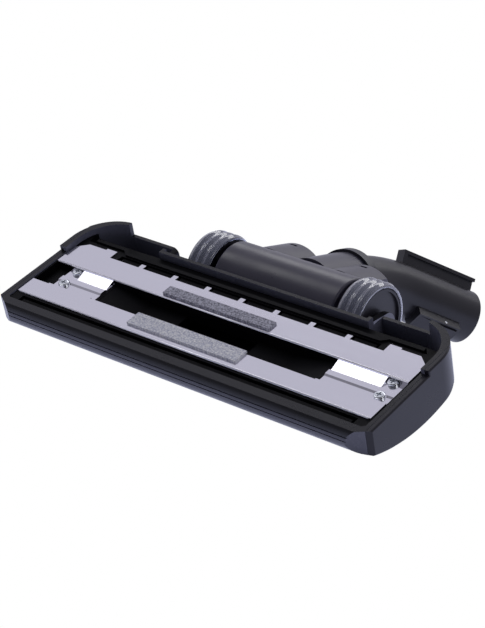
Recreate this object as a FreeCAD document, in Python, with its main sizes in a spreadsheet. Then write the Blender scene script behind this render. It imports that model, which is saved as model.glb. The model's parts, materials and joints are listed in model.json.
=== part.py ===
import FreeCAD, Part
import Sketcher
import math
import os

# A floor head for a vacuum cleaner, lying on its back with the sole up.
# The pieces are drawn in the sole's own frame: X runs along the head, Y goes
# back from the front edge of the sole, and Z comes out of the sole at z = 0.
# Every piece is then leaned back together, because the head rests on the
# rounded front edge of its cover and on the lower edge of the tube's end.

doc = FreeCAD.newDocument("floor_head")
sheet = doc.addObject("Spreadsheet::Sheet", "Sizes")

# Sizes in millimetres and degrees
SIZES = {
    # Cover
    "half_width": 137.5,
    "cap_thickness": 3.0,
    "cap_gap": 0.2,
    "wall": 2.4,
    "deck_radius": 116.0,
    "deck_centre_y": 39.0,
    "deck_depth": 27.0,
    "nose_radius": 9.5,
    "nose_drop": 7.052,
    "rear_y": 85.0,
    "corner_radius": 28.0,
    "facet_width": 13.0,
    "facet_depth": 8.0,
    "rear_rim_rise": 3.0,
    "rear_rim_y": 45.0,
    "window_margin": 25.5,
    "window_round": 4.0,
    "window_depth": 5.5,
    # Bay for the barrel and its carrying arms
    "bay_half": 76.0,
    "bay_y": 73.0,
    "arm_inner_x": 65.6,
    "arm_thickness": 4.0,
    "arm_boss_radius": 8.5,
    "pin_radius": 3.0,
    "pin_fit": 0.08,
    "groove_width": 0.6,
    "groove_depth": 0.5,
    "upper_groove": 4.0,
    "lower_groove": 6.5,
    # Sole plate
    "plate_margin": 7.0,
    "plate_metal": 0.8,
    "front_land": 13.6,
    "channel_end": 35.3,
    "rear_land_end": 52.0,
    "tab_pitch": 25.7,
    "tab_width": 3.6,
    "tab_tip": 55.5,
    "wide_tab_margin": 31.5,
    "wide_tab_width": 8.0,
    "mouth_margin": 54.0,
    "channel_depth": 3.0,
    "bead_rise": 1.0,
    "bead_width": 6.0,
    "bridge_margin": 19.5,
    "fold_depth": 3.0,
    # Sole screws
    "screw_left_margin": 25.5,
    "screw_right_margin": 16.0,
    "screw_front_y": 20.2,
    "screw_rear_y": 33.0,
    "screw_radius": 1.5,
    "screw_head_radius": 3.3,
    "screw_head_height": 1.9,
    "screw_cross": 3.6,
    "screw_cross_width": 0.9,
    "screw_length": 12.0,
    # Base frame
    "frame_gap": 0.3,
    "frame_floor": 2.6,
    "frame_front_y": 10.6,
    "slot_front_y": 8.6,
    "slot_width": 6.4,
    "slot_margin": 13.5,
    "rear_slot_y": 52.8,
    "rear_slot_width": 4.6,
    "ridge_y": 58.6,
    "ridge_width": 2.6,
    "ridge_margin": 15.5,
    "ridge_bulge": 3.4,
    "ridge_rise": 0.2,
    "frame_rear_y": 69.8,
    # Air duct
    "duct_wall": 1.8,
    "duct_shallow": 10.2,
    "duct_deep": 18.4,
    "throat_half": 27.0,
    # Lint strips
    "strip_thickness": 1.4,
    "front_strip_y": 4.2,
    "front_strip_width": 10.8,
    "front_strip_left": 46.0,
    "front_strip_right": 35.0,
    "rear_strip_y": 37.3,
    "rear_strip_width": 7.2,
    "rear_strip_left": 46.5,
    "rear_strip_right": 33.0,
    # Barrel, wheels and neck
    "axle_y": 96.7,
    "axle_drop": 23.8,
    "barrel_radius": 22.5,
    "barrel_half": 44.6,
    "barrel_wall": 2.5,
    "journal_radius": 16.5,
    "journal_half": 48.0,
    "wheel_inner_x": 48.6,
    "wheel_width": 15.7,
    "disc_radius": 21.9,
    "tyre_radius": 24.9,
    "hub_radius": 6.5,
    "neck_slope": 25.5,
    "neck_radius": 21.0,
    "neck_bore": 18.4,
    "neck_length": 56.0,
    "ear_middle_x": 26.5,
    "ear_half": 14.0,
    "ear_hump": 24.0,
    "ear_height": 21.5,
    "ear_under": 8.0,
    "ear_length": 40.0,
    "collar_radius": 22.8,
    "collar_start": 54.5,
    "collar_length": 6.5,
    # Elbow
    "elbow_distance": 86.0,
    "elbow_bend": 31.0,
    "elbow_swivel": 52.0,
    "bend_radius": 92.0,
    "tube_radius": 17.6,
    "tube_bore": 16.1,
    "tube_length": 76.0,
    "tube_edge": 0.8,
    "socket_stop": 8.5,
    "spigot_radius": 18.0,
    "spigot_length": 13.0,
    "rail_turn": 37.0,
    "rail_length": 60.0,
    "rail_height": 8.2,
    "rail_web": 2.6,
    "rail_top_width": 7.4,
    "rail_end_plate": 3.0,
    "rail_top_height": 2.2,
    "latch_back": 48.0,
    "latch_length": 34.0,
    "latch_width": 14.0,
    "latch_height": 5.0,
    # Brush carrier and pedal
    "bar_play": 0.5,
    "bar_height": 4.5,
    "bristle_height": 6.5,
    "bristle_width": 2.6,
    "brush_drop": 1.4,
    "web_x": 52.0,
    "web_width": 6.0,
    "pedal_x": 52.0,
    "pedal_half": 15.0,
    "pedal_front_y": 42.0,
    "pedal_rear_y": 68.0,
    "pedal_hinge_y": 56.0,
    "hinge_lift": 1.2,
    "pedal_swing_gap": 1.6,
    "pedal_thickness": 3.0,
    "pedal_pin_radius": 1.5,
}
for row, (alias, number) in enumerate(SIZES.items(), start=1):
    sheet.set(f"A{row}", str(number))
    sheet.setAlias(f"A{row}", alias)
doc.recompute()


class Size:
    """A number together with the sheet formula that gives it."""

    def __init__(self, value, formula):
        self.value = float(value)
        self.formula = formula

    def __add__(self, other):
        other = as_size(other)
        return Size(self.value + other.value, f"({self.formula} + {other.formula})")

    def __sub__(self, other):
        other = as_size(other)
        return Size(self.value - other.value, f"({self.formula} - {other.formula})")

    def __mul__(self, other):
        other = as_size(other)
        return Size(self.value * other.value, f"({self.formula} * {other.formula})")

    def __truediv__(self, other):
        other = as_size(other)
        return Size(self.value / other.value, f"({self.formula} / {other.formula})")

    def __neg__(self):
        return Size(-self.value, f"(0 - {self.formula})")

    __radd__ = __add__
    __rmul__ = __mul__

    def __rsub__(self, other):
        return as_size(other) - self


def as_size(number):
    """Gives a plain number as a size, and a size as it is."""
    return number if isinstance(number, Size) else Size(number, f"({number:g})")


def root(number):
    """The square root of a size."""
    return Size(math.sqrt(number.value), f"sqrt({number.formula})")


def read(alias):
    """A size of the sheet by its name."""
    return Size(sheet.get(alias), f"Sizes.{alias}")


def bind(thing, path, number):
    """Sets a property from a size's formula."""
    thing.setExpression(path, as_size(number).formula)


half_width = read("half_width")
wall = read("wall")
deck_radius = read("deck_radius")
deck_centre_y = read("deck_centre_y")
deck_depth = read("deck_depth")
nose_radius = read("nose_radius")
nose_gap = deck_radius - nose_radius
nose_centre_z = -read("nose_drop")
nose_rise = deck_radius - deck_depth - nose_centre_z
nose_reach = root(nose_gap * nose_gap - nose_rise * nose_rise)
nose_y = nose_reach - deck_centre_y
rear_y = read("rear_y")
corner_radius = read("corner_radius")
cap_thickness = read("cap_thickness")
cap_gap = read("cap_gap")
bay_half = read("bay_half")
bay_y = read("bay_y")
axle_y = read("axle_y")
axle_z = -read("axle_drop")
plate_half = half_width - read("plate_margin")
plate_metal = read("plate_metal")
front_land = read("front_land")
channel_end = read("channel_end")
rear_land_end = read("rear_land_end")
mouth_half = half_width - read("mouth_margin")
channel_depth = read("channel_depth")
bridge_end = half_width - read("bridge_margin")
wide_x = half_width - read("wide_tab_margin")
pin_radius = read("pin_radius")
pin_fit = read("pin_fit")


# Drawing helpers
def body(label):
    """Starts a piece."""
    piece = doc.addObject("PartDesign::Body", label)
    piece.Label = label
    return piece


def origin_plane(piece, role):
    """The piece's own origin plane with that role."""
    return next(f for f in piece.Origin.OriginFeatures if f.Role == role)


def sketch_on(piece, role, offset=0.0):
    """Starts a sketch on an origin plane, moved along the plane's normal."""
    drawing = piece.newObject("Sketcher::SketchObject", "Sketch")
    drawing.AttachmentSupport = [(origin_plane(piece, role), "")]
    drawing.MapMode = "FlatFace"
    offset = as_size(offset)
    drawing.AttachmentOffset = FreeCAD.Placement(
        FreeCAD.Vector(0, 0, offset.value), FreeCAD.Rotation())
    bind(drawing, "AttachmentOffset.Base.z", offset)
    return drawing


def fix_point(drawing, element, end, x, y):
    """Ties a point of an element to its two distances from the origin."""
    for kind, number in (("DistanceX", as_size(x)), ("DistanceY", as_size(y))):
        index = drawing.addConstraint(
            Sketcher.Constraint(kind, -1, 1, element, end, number.value))
        drawing.setExpression(f"Constraints[{index}]", number.formula)


def outline(drawing, points, arcs=None):
    """Draws a closed outline.

    An entry of arcs gives, for the side that leaves that point, the arc's
    centre and radius, and whether it turns to the left.
    """
    arcs = arcs or {}
    points = [(as_size(x), as_size(y)) for x, y in points]
    count = len(points)
    ends = []
    for side in range(count):
        (x0, y0), (x1, y1) = points[side], points[(side + 1) % count]
        if side in arcs:
            cx, cy, radius, left = arcs[side]
            cx, cy, radius = as_size(cx), as_size(cy), as_size(radius)
            start = math.atan2(y0.value - cy.value, x0.value - cx.value)
            stop = math.atan2(y1.value - cy.value, x1.value - cx.value)
            if not left:
                start, stop = stop, start
            if stop < start:
                stop += 2 * math.pi
            circle_line = Part.Circle(
                FreeCAD.Vector(cx.value, cy.value, 0), FreeCAD.Vector(0, 0, 1), radius.value)
            element = drawing.addGeometry(Part.ArcOfCircle(circle_line, start, stop))
            index = drawing.addConstraint(
                Sketcher.Constraint("Radius", element, radius.value))
            drawing.setExpression(f"Constraints[{index}]", radius.formula)
            ends.append((element, 1, 2) if left else (element, 2, 1))
        else:
            element = drawing.addGeometry(Part.LineSegment(
                FreeCAD.Vector(x0.value, y0.value, 0), FreeCAD.Vector(x1.value, y1.value, 0)))
            ends.append((element, 1, 2))
    for side in range(count):
        element, first, last = ends[side]
        following, start, _ = ends[(side + 1) % count]
        drawing.addConstraint(
            Sketcher.Constraint("Coincident", element, last, following, start))
        fix_point(drawing, element, first, *points[side])


def rectangle(drawing, x0, y0, x1, y1):
    """Draws a rectangle from two corners."""
    outline(drawing, [(x0, y0), (x1, y0), (x1, y1), (x0, y1)])


def ring(drawing, x, y, radius):
    """Draws a circle."""
    x, y, radius = as_size(x), as_size(y), as_size(radius)
    element = drawing.addGeometry(Part.Circle(
        FreeCAD.Vector(x.value, y.value, 0), FreeCAD.Vector(0, 0, 1), radius.value))
    fix_point(drawing, element, 3, x, y)
    index = drawing.addConstraint(Sketcher.Constraint("Radius", element, radius.value))
    drawing.setExpression(f"Constraints[{index}]", radius.formula)


def pad(piece, drawing, length, both=False, back=False):
    """Adds the drawing's prism, to one side, the other, or half to each."""
    feature = piece.newObject("PartDesign::Pad", "Pad")
    feature.Profile = drawing
    feature.Midplane = both
    feature.Reversed = back
    bind(feature, "Length", length)
    return feature


def pocket(piece, drawing, length, both=False, back=False):
    """Cuts the drawing's prism, and stops if it missed the solid."""
    doc.recompute()
    before = piece.Shape.Volume
    feature = piece.newObject("PartDesign::Pocket", "Pocket")
    feature.Profile = drawing
    feature.Midplane = both
    feature.Reversed = back
    bind(feature, "Length", length)
    doc.recompute()
    if piece.Shape.Volume > before - 1e-3:
        raise ValueError(f"{piece.Label}: a pocket cuts nothing")
    return feature


def mirror(piece, features, role="YZ_Plane"):
    """Repeats features on the other side of a plane."""
    copy = piece.newObject("PartDesign::Mirrored", "Mirrored")
    copy.Originals = features
    copy.MirrorPlane = (origin_plane(piece, role), [""])
    piece.Tip = copy
    return copy


def round_edges(piece, test, radius, kind="PartDesign::Fillet"):
    """Rounds or bevels the edges whose middle and length pass the test."""
    doc.recompute()
    base = piece.Tip
    names = []
    for number, edge in enumerate(base.Shape.Edges, start=1):
        middle = edge.valueAt((edge.FirstParameter + edge.LastParameter) / 2)
        if test(middle, edge):
            names.append(f"Edge{number}")
    feature = piece.newObject(kind, "Rounding")
    feature.Base = (base, names)
    size_name = "Radius" if kind.endswith("Fillet") else "Size"
    bind(feature, size_name, radius)
    doc.recompute()
    return feature


def near(one, other, gap=0.02):
    """Whether two numbers agree."""
    return abs(one - as_size(other).value) < gap


def curve_radius(edge):
    """The radius of a round edge, and zero for any other."""
    return getattr(edge.Curve, "Radius", 0.0)


# Axes of the neck and of the elbow's tube
slope = math.radians(read("neck_slope").value)
bend = math.radians(read("elbow_bend").value)
swivel = math.radians(read("elbow_swivel").value)
neck_axis = FreeCAD.Vector(0, math.cos(slope), -math.sin(slope))
down = FreeCAD.Vector(0, -math.sin(slope), -math.cos(slope))
aside = down * math.cos(swivel) + FreeCAD.Vector(math.sin(swivel), 0, 0)
tube_axis = neck_axis * math.cos(bend) + aside * math.sin(bend)
NECK = FreeCAD.Placement(
    FreeCAD.Vector(0, axle_y.value, axle_z.value),
    FreeCAD.Rotation(FreeCAD.Vector(1, 0, 0), -90 - read("neck_slope").value))
elbow_distance = read("elbow_distance")
bend_point = NECK.multVec(FreeCAD.Vector(0, 0, elbow_distance.value))
rail_side = (neck_axis - tube_axis * math.cos(bend)).normalize()
TUBE = FreeCAD.Placement(
    bend_point, FreeCAD.Rotation(rail_side.cross(tube_axis), rail_side, tube_axis, "ZYX"))
tube_length = read("tube_length")
tube_radius = read("tube_radius")


# Leaning the whole model back until the nose and the tube's end both touch
def heights(angle):
    """Lowest heights of the cover's deck and of the tube's end at a lean."""
    upward = FreeCAD.Vector(0, math.sin(angle), math.cos(angle))
    deck_centre = FreeCAD.Vector(0, deck_centre_y.value, (deck_radius - deck_depth).value)
    across = (upward - tube_axis * upward.dot(tube_axis)).Length
    edge = read("tube_edge")
    tube_end = bend_point + tube_axis * (tube_length - edge).value
    return (
        deck_centre.dot(upward) - deck_radius.value,
        tube_end.dot(upward) - (tube_radius - edge).value * across - edge.value)


low_angle = math.radians(10)
high_angle = math.radians(40)
for _ in range(50):
    lean = (low_angle + high_angle) / 2
    deck_low, tube_low = heights(lean)
    if tube_low < deck_low:
        low_angle = lean
    else:
        high_angle = lean
LEAN = FreeCAD.Rotation(FreeCAD.Vector(1, 0, 0), math.degrees(lean))
STANCE = FreeCAD.Placement(FreeCAD.Vector(), LEAN)
print(f"The model leans back by {math.degrees(lean):.3f} degrees")
pieces = []


def finish(piece, local=None):
    """Gives a finished piece its place in the leaned model."""
    doc.recompute()
    piece.Placement = STANCE.multiply(local) if local else STANCE
    pieces.append(piece)


# Side view of the cover
def cover_profile(drawing, inset, top_front, top_rear, step_y):
    """Draws the cover's section: a small nose arc runs into the long deck arc."""
    centre_z = deck_radius - deck_depth
    nose = nose_radius - inset
    deck = deck_radius - inset
    meet_y = deck_centre_y - nose_reach / nose_gap * deck
    meet_z = centre_z - (centre_z - nose_centre_z) / nose_gap * deck
    rise = top_front - nose_centre_z
    lip_y = -nose_y - root(nose * nose - rise * rise)
    back_y = rear_y - inset
    from_centre = back_y - deck_centre_y
    heel_z = centre_z - root(deck * deck - from_centre * from_centre)
    outline(
        drawing,
        [(lip_y, top_front), (meet_y, meet_z), (back_y, heel_z), (back_y, top_rear),
         (step_y, top_rear), (step_y, top_front)],
        {0: (-nose_y, nose_centre_z, nose, True), 1: (deck_centre_y, centre_z, deck, True)},
    )
    return heel_z


def cover_plan(drawing, inset, half):
    """Draws the cover's outline seen from the sole."""
    front_y = -nose_y - nose_radius + inset
    back_y = rear_y - inset
    radius = corner_radius - inset
    facet_x = half_width - inset - read("facet_width")
    facet_y = front_y + read("facet_depth")
    turn_y = rear_y - corner_radius
    turn_x = half_width - corner_radius
    outline(
        drawing,
        [(-facet_x, front_y), (facet_x, front_y), (half, facet_y), (half, turn_y),
         (turn_x, back_y), (-turn_x, back_y), (-half, turn_y), (-half, facet_y)],
        {3: (turn_x, turn_y, radius, True), 5: (-turn_x, turn_y, radius, True)},
    )


def trim_plan(piece, inset, half):
    """Cuts away what stands outside the cover's plan."""
    reach = half_width + 20
    plan = sketch_on(piece, "XY_Plane", -60)
    rectangle(plan, -reach, -60, reach, 140)
    cover_plan(plan, inset, half)
    pocket(piece, plan, 120, back=True)


def trim_section(piece):
    """Cuts away what stands outside the cover's section."""
    side = sketch_on(piece, "YZ_Plane")
    rectangle(side, -60, -80, 140, 40)
    cover_profile(side, 0.0, as_size(0.0), SKIN_TOP, read("rear_rim_y"))
    pocket(piece, side, half_width * 3, both=True)


SKIN_TOP = read("rear_rim_rise")


def solid_cover(piece, length, offset=0.0, both=True):
    """Makes the cover's full form over a length along X."""
    side = sketch_on(piece, "YZ_Plane", offset)
    cover_profile(side, 0.0, as_size(0.0), SKIN_TOP, read("rear_rim_y"))
    pad(piece, side, length, both=both)
    trim_plan(piece, 0.0, half_width)


# Cover: the moulded shell that is the head's top in use
shell_half = half_width - cap_thickness - cap_gap
inner_half = shell_half - wall
hollow = body("hollow_form")
side = sketch_on(hollow, "YZ_Plane")
cover_profile(side, wall, as_size(0.01), SKIN_TOP + 5, read("rear_rim_y"))
pad(hollow, side, inner_half * 2, both=True)
trim_plan(hollow, wall, inner_half)

housing = body("housing_shell")
solid_cover(housing, shell_half * 2)
doc.recompute()
emptied = housing.newObject("PartDesign::Boolean", "Hollow")
emptied.Type = "Cut"
emptied.setObjects([hollow])
doc.recompute()

# The bay's lining stands on the deck, in front of and beside the barrel
lining = sketch_on(housing, "XY_Plane", -deck_depth)
bay_outer = bay_half + wall
outline(lining, [
    (-bay_outer, bay_y - wall), (bay_outer, bay_y - wall), (bay_outer, rear_y - wall / 2),
    (bay_half, rear_y - wall / 2), (bay_half, bay_y), (-bay_half, bay_y),
    (-bay_half, rear_y - wall / 2), (-bay_outer, rear_y - wall / 2)])
pad(housing, lining, deck_depth)

# Bosses that take the sole screws
boss_top = channel_depth + plate_metal + read("frame_floor")
boss_plan = sketch_on(housing, "XY_Plane", -deck_depth + wall / 2)
screw_left = read("screw_left_margin") - half_width
screw_right = half_width - read("screw_right_margin")
screw_places = [
    (x, y) for x in (screw_left, screw_right)
    for y in (read("screw_front_y"), read("screw_rear_y"))]
for x, y in screw_places:
    ring(boss_plan, x, y, read("screw_head_radius") + 0.9)
pad(housing, boss_plan, deck_depth - wall / 2 - boss_top)

# Lugs beside the pedal's opening
pedal_x = read("pedal_x")
pedal_side = read("pedal_half") + 0.6
hinge_y = read("pedal_hinge_y")
hinge_z = wall + read("hinge_lift") - deck_depth
for edge in (-pedal_x - pedal_side - 3, -pedal_x + pedal_side):
    lug = sketch_on(housing, "YZ_Plane", edge)
    rectangle(lug, hinge_y - 4, hinge_z - wall / 2, hinge_y + 4, hinge_z + 4.5)
    pad(housing, lug, 3)

trim_section(housing)

bay = sketch_on(housing, "XY_Plane", -60)
rectangle(bay, -bay_half, bay_y, bay_half, rear_y + 10)
pocket(housing, bay, 120, back=True)

# Two fine grooves along the front
groove_reach = nose_y + nose_radius
grooves = sketch_on(housing, "YZ_Plane")
groove_half = read("groove_width") / 2
for drop in (read("upper_groove"), read("lower_groove")):
    below = nose_centre_z + drop
    surface = -nose_y - root(nose_radius * nose_radius - below * below)
    rectangle(
        grooves, -groove_reach - 1, -drop - groove_half,
        surface + read("groove_depth"), groove_half - drop)
pocket(housing, grooves, half_width * 2, both=True)

# Low stretches of the rear wall
windows = sketch_on(housing, "XZ_Plane", -(rear_y + 5))
window_low = -read("window_depth")
window_round = read("window_round")
window_outer = half_width - read("window_margin")
for sign in (-1, 1):
    outline(windows, [
        ((bay_half - 1) * sign, 20.0), ((bay_half - 1) * sign, window_low - window_round),
        (bay_half * sign, window_low - window_round),
        ((bay_half + window_round) * sign, window_low),
        (window_outer * sign, window_low), (window_outer * sign, 20.0)],
        {2: ((bay_half + window_round) * sign, window_low - window_round, window_round, sign < 0)})
pocket(housing, windows, rear_y + 5 - (bay_y + 2), back=True)

# Opening for the air duct in the lining
duct_outer = read("throat_half") + read("duct_wall")
port = sketch_on(housing, "XZ_Plane", -(bay_y + 4))
rectangle(port, -duct_outer - 0.3, -read("duct_deep") - 0.3, duct_outer + 0.3, -6.9)
pocket(housing, port, 12, back=True)

# Opening for the pedal, and its pin's holes
pedal_plan = sketch_on(housing, "XY_Plane", -60)
rectangle(
    pedal_plan, -pedal_x - pedal_side, read("pedal_front_y") - read("pedal_swing_gap"),
    -pedal_x + pedal_side, read("pedal_rear_y") + 0.6)
pocket(housing, pedal_plan, 60 - deck_depth / 2, back=True)
pin_hole = sketch_on(housing, "YZ_Plane", -pedal_x - pedal_side - 6)
ring(pin_hole, hinge_y, hinge_z, read("pedal_pin_radius"))
pocket(housing, pin_hole, pedal_side * 2 + 12, back=True)

# Pilot holes of the sole screws
pilots = sketch_on(housing, "XY_Plane", -boss_top)
for x, y in screw_places:
    ring(pilots, x, y, read("screw_radius"))
pocket(housing, pilots, read("screw_length") - boss_top + channel_depth + 1)

# Room for the wheels in the lining
wheel_inner = read("wheel_inner_x")
wheel_width = read("wheel_width")
for start in (-wheel_inner - wheel_width - 0.5, wheel_inner - 0.5):
    room = sketch_on(housing, "YZ_Plane", start)
    ring(room, axle_y, axle_z, read("tyre_radius") + 0.5)
    pocket(housing, room, wheel_width + 1, back=True)

# Arms that carry the barrel's pins, one each side of the bay
arm = sketch_on(housing, "YZ_Plane", read("arm_inner_x"))
boss = read("arm_boss_radius")
outline(
    arm,
    [(bay_y - wall / 2, axle_z + boss + 5.5), (axle_y, axle_z + boss), (axle_y + boss, axle_z),
     (axle_y, axle_z - boss), (bay_y - wall / 2, -deck_depth + wall + 4)],
    {1: (axle_y, axle_z, boss, False), 2: (axle_y, axle_z, boss, False)})
ring(arm, axle_y, axle_z, pin_radius)
right_arm = pad(housing, arm, read("arm_thickness"))
mirror(housing, [right_arm])
finish(housing)

# End caps: glossy bumpers over the shell's two ends
turn_y = (rear_y - corner_radius).value
for label, start in (("end_cap_left", -half_width), ("end_cap_right", half_width - cap_thickness)):
    cap = body(label)
    solid_cover(cap, cap_thickness, start, both=False)
    round_edges(
        cap, lambda spot, edge: near(abs(spot.x), half_width)
        and (spot.y < turn_y or spot.z > -0.1), 1.0)
    finish(cap)


def block(piece, x0, y0, x1, y1, z0, z1):
    """Adds a block between two corners."""
    plan = sketch_on(piece, "XY_Plane", z0)
    rectangle(plan, x0, y0, x1, y1)
    return pad(piece, plan, as_size(z1) - z0)


def hole(piece, x0, y0, x1, y1, z0, z1):
    """Cuts a block between two corners."""
    plan = sketch_on(piece, "XY_Plane", z1)
    rectangle(plan, x0, y0, x1, y1)
    return pocket(piece, plan, as_size(z1) - z0)


# Base frame: the black inner moulding that carries the sole plate
frame_top = -plate_metal
frame_under = frame_top - read("frame_floor")
frame_side = inner_half - read("frame_gap")
trough_y = read("ridge_y") + read("ridge_width")
slot_end_y = -read("slot_front_y") + read("slot_width")
rear_slot_end = read("rear_slot_y") + read("rear_slot_width")
channel_floor = -channel_depth - plate_metal
base = body("base_frame")
plan = sketch_on(base, "XY_Plane", frame_under)
rectangle(plan, -frame_side, -read("frame_front_y"), frame_side, read("frame_rear_y"))
pad(base, plan, read("frame_floor"))
trough_floor = frame_under - 1.0
block(
    base, -frame_side, trough_y - 2.4, frame_side, read("frame_rear_y"),
    trough_floor - 2.4, frame_under)
for sign in (-1, 1):
    block(
        base, (mouth_half + 0.6) * sign, front_land - 2.4, frame_side * sign,
        channel_end + 2.4, channel_floor - read("frame_floor"), frame_under)
trim_plan(base, wall + read("frame_gap"), frame_side)
hole(base, -mouth_half, front_land, mouth_half, channel_end, -20, 5)
for sign in (-1, 1):
    hole(
        base, (mouth_half - 1) * sign, front_land, plate_half * sign, channel_end,
        channel_floor, 5)
fold_depth = read("fold_depth")
hole(base, -plate_half, 0.0, plate_half, plate_metal, -fold_depth, 5)
hole(base, plate_half - plate_metal, 0.0, plate_half, front_land, -fold_depth, 5)
hole(
    base, -plate_half + 0.6, front_land, -bridge_end - 0.6, channel_end,
    channel_floor - 1.2, 5)
slot_half = half_width - read("slot_margin")
hole(base, -slot_half, -read("slot_front_y"), slot_half, slot_end_y, -20, 5)
hole(base, -slot_half + 27, read("rear_slot_y"), slot_half - 27, rear_slot_end, -20, 5)
hole(base, -frame_side + 4, trough_y, frame_side - 4, read("frame_rear_y") + 3, trough_floor, 5)

# Ridge behind the plate, with a bulge round each wide tab
ridge_half = half_width - read("ridge_margin")
ridge_plan = sketch_on(base, "XY_Plane", trough_floor)
ridge_width = read("ridge_width")
ridge_out = read("ridge_y") + read("ridge_bulge")
bend_out = wide_x - read("wide_tab_width") / 2 - 3
bend_in = bend_out - 4
outline(ridge_plan, [
    (-ridge_half, ridge_out), (-bend_out, ridge_out), (-bend_in, read("ridge_y")),
    (bend_in, read("ridge_y")), (bend_out, ridge_out), (ridge_half, ridge_out),
    (ridge_half, ridge_out + ridge_width), (bend_out - 1, ridge_out + ridge_width),
    (bend_in - 1, trough_y), (1 - bend_in, trough_y), (1 - bend_out, ridge_out + ridge_width),
    (-ridge_half, ridge_out + ridge_width)])
pad(base, ridge_plan, read("ridge_rise") - trough_floor)
seat_radius = read("screw_head_radius") + 0.4
seats = sketch_on(base, "XY_Plane", frame_top)
for x, y in screw_places:
    ring(seats, x, y, seat_radius)
pocket(base, seats, channel_depth)
screw_holes = sketch_on(base, "XY_Plane", 5)
for x, y in screw_places:
    ring(screw_holes, x, y, read("screw_radius"))
pocket(base, screw_holes, 40)
finish(base)

# Air duct: a shallow mouth that runs into a throat to the barrel
duct = body("suction_duct")
duct_wall = read("duct_wall")
throat_half = read("throat_half")
duct_top = frame_under
mouth_floor = -read("duct_shallow")
throat_floor = -read("duct_deep")
duct_end = axle_y - 14
taper_x = throat_half + 27
mouth_front = front_land - 1.2
mouth_rear = channel_end + 1.2
mouth_form = sketch_on(duct, "XZ_Plane", -mouth_rear)
outline(mouth_form, [
    (-mouth_half, duct_top), (-mouth_half, duct_top - duct_wall), (-taper_x, mouth_floor),
    (taper_x, mouth_floor), (mouth_half, duct_top - duct_wall), (mouth_half, duct_top)])
pad(duct, mouth_form, mouth_rear - mouth_front)
throat_top = trough_floor - 4.6
block(duct, -duct_outer, mouth_front, duct_outer, duct_end, throat_floor, throat_top)
mouth_space = sketch_on(duct, "XZ_Plane", -channel_end + 0.6)
inner_mouth = mouth_half - duct_wall
outline(mouth_space, [
    (-inner_mouth, 2.0), (-inner_mouth, duct_top - 0.2), (-taper_x, mouth_floor + duct_wall),
    (taper_x, mouth_floor + duct_wall), (inner_mouth, duct_top - 0.2), (inner_mouth, 2.0)])
pocket(duct, mouth_space, channel_end - front_land - 1.2, back=True)
hole(
    duct, -throat_half, front_land + 0.6, throat_half, channel_end - 0.6,
    throat_floor + duct_wall, mouth_floor + 5)
throat_space = sketch_on(duct, "XZ_Plane", -duct_end - 5)
rectangle(throat_space, -throat_half, throat_floor + duct_wall, throat_half, throat_top - duct_wall)
pocket(duct, throat_space, duct_end + 5 - channel_end + 2, back=True)
lip = sketch_on(duct, "YZ_Plane")
ring(lip, axle_y, axle_z, read("barrel_radius") + 0.5)
pocket(duct, lip, throat_half * 4, both=True)
finish(duct)

# Sole plate: one stamped sheet with two lands, a sunk channel and bent tabs
plate = body("sole_plate")
sheet_z = -plate_metal
block(plate, -plate_half, 0.0, plate_half, rear_land_end, sheet_z, 0.0)
tab_half = read("tab_width") / 2
tabs = sketch_on(plate, "XY_Plane", sheet_z)
for step in range(-3, 4):
    centre = read("tab_pitch") * step
    rectangle(tabs, centre - tab_half, rear_land_end - 0.5, centre + tab_half, read("tab_tip"))
pad(plate, tabs, plate_metal)
wide_half = read("wide_tab_width") / 2
wings = sketch_on(plate, "XY_Plane", sheet_z)
for sign in (-1, 1):
    outline(wings, [
        ((wide_x - wide_half) * sign, rear_land_end - 0.5),
        ((wide_x - wide_half) * sign, read("tab_tip") + 3.4),
        ((wide_x + wide_half) * sign, read("tab_tip") + 3.4),
        ((wide_x + wide_half) * sign, read("tab_tip") + 2.0),
        ((plate_half - 7) * sign, read("tab_tip") + 2.0),
        (plate_half * sign, rear_land_end - 0.5)])
pad(plate, wings, plate_metal)
hole(plate, -plate_half - 1, front_land, plate_half + 1, channel_end, -5, 5)
block(
    plate, -read("front_strip_left"), front_land - 0.5, read("front_strip_right"),
    front_land + 1.6, sheet_z, 0.0)
block(plate, -plate_half, 0.0, plate_half, plate_metal, -fold_depth, sheet_z)
block(
    plate, plate_half - plate_metal, 0.0, plate_half, front_land, -fold_depth, sheet_z)
for x0, x1 in ((-bridge_end, -mouth_half), (mouth_half, plate_half)):
    trough = sketch_on(plate, "YZ_Plane", x0)
    middle = (front_land + channel_end) / 2
    bead = read("bead_width") / 2
    low = channel_floor
    flat = -channel_depth
    crest = flat + read("bead_rise")
    outline(trough, [
        (front_land, 0.0), (front_land, low), (channel_end, low), (channel_end, 0.0),
        (channel_end - plate_metal, 0.0), (channel_end - plate_metal, flat),
        (middle + bead, flat), (middle + bead - 1, crest), (middle - bead + 1, crest),
        (middle - bead, flat), (front_land + plate_metal, flat), (front_land + plate_metal, 0.0)])
    pad(plate, trough, x1 - x0)
seats = sketch_on(plate, "XY_Plane", sheet_z)
for x, y in screw_places:
    ring(seats, x, y, seat_radius)
pocket(plate, seats, channel_depth - plate_metal)
plate_holes = sketch_on(plate, "XY_Plane", 5)
for x, y in screw_places:
    ring(plate_holes, x, y, read("screw_radius"))
pocket(plate, plate_holes, 12)
finish(plate)

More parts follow.
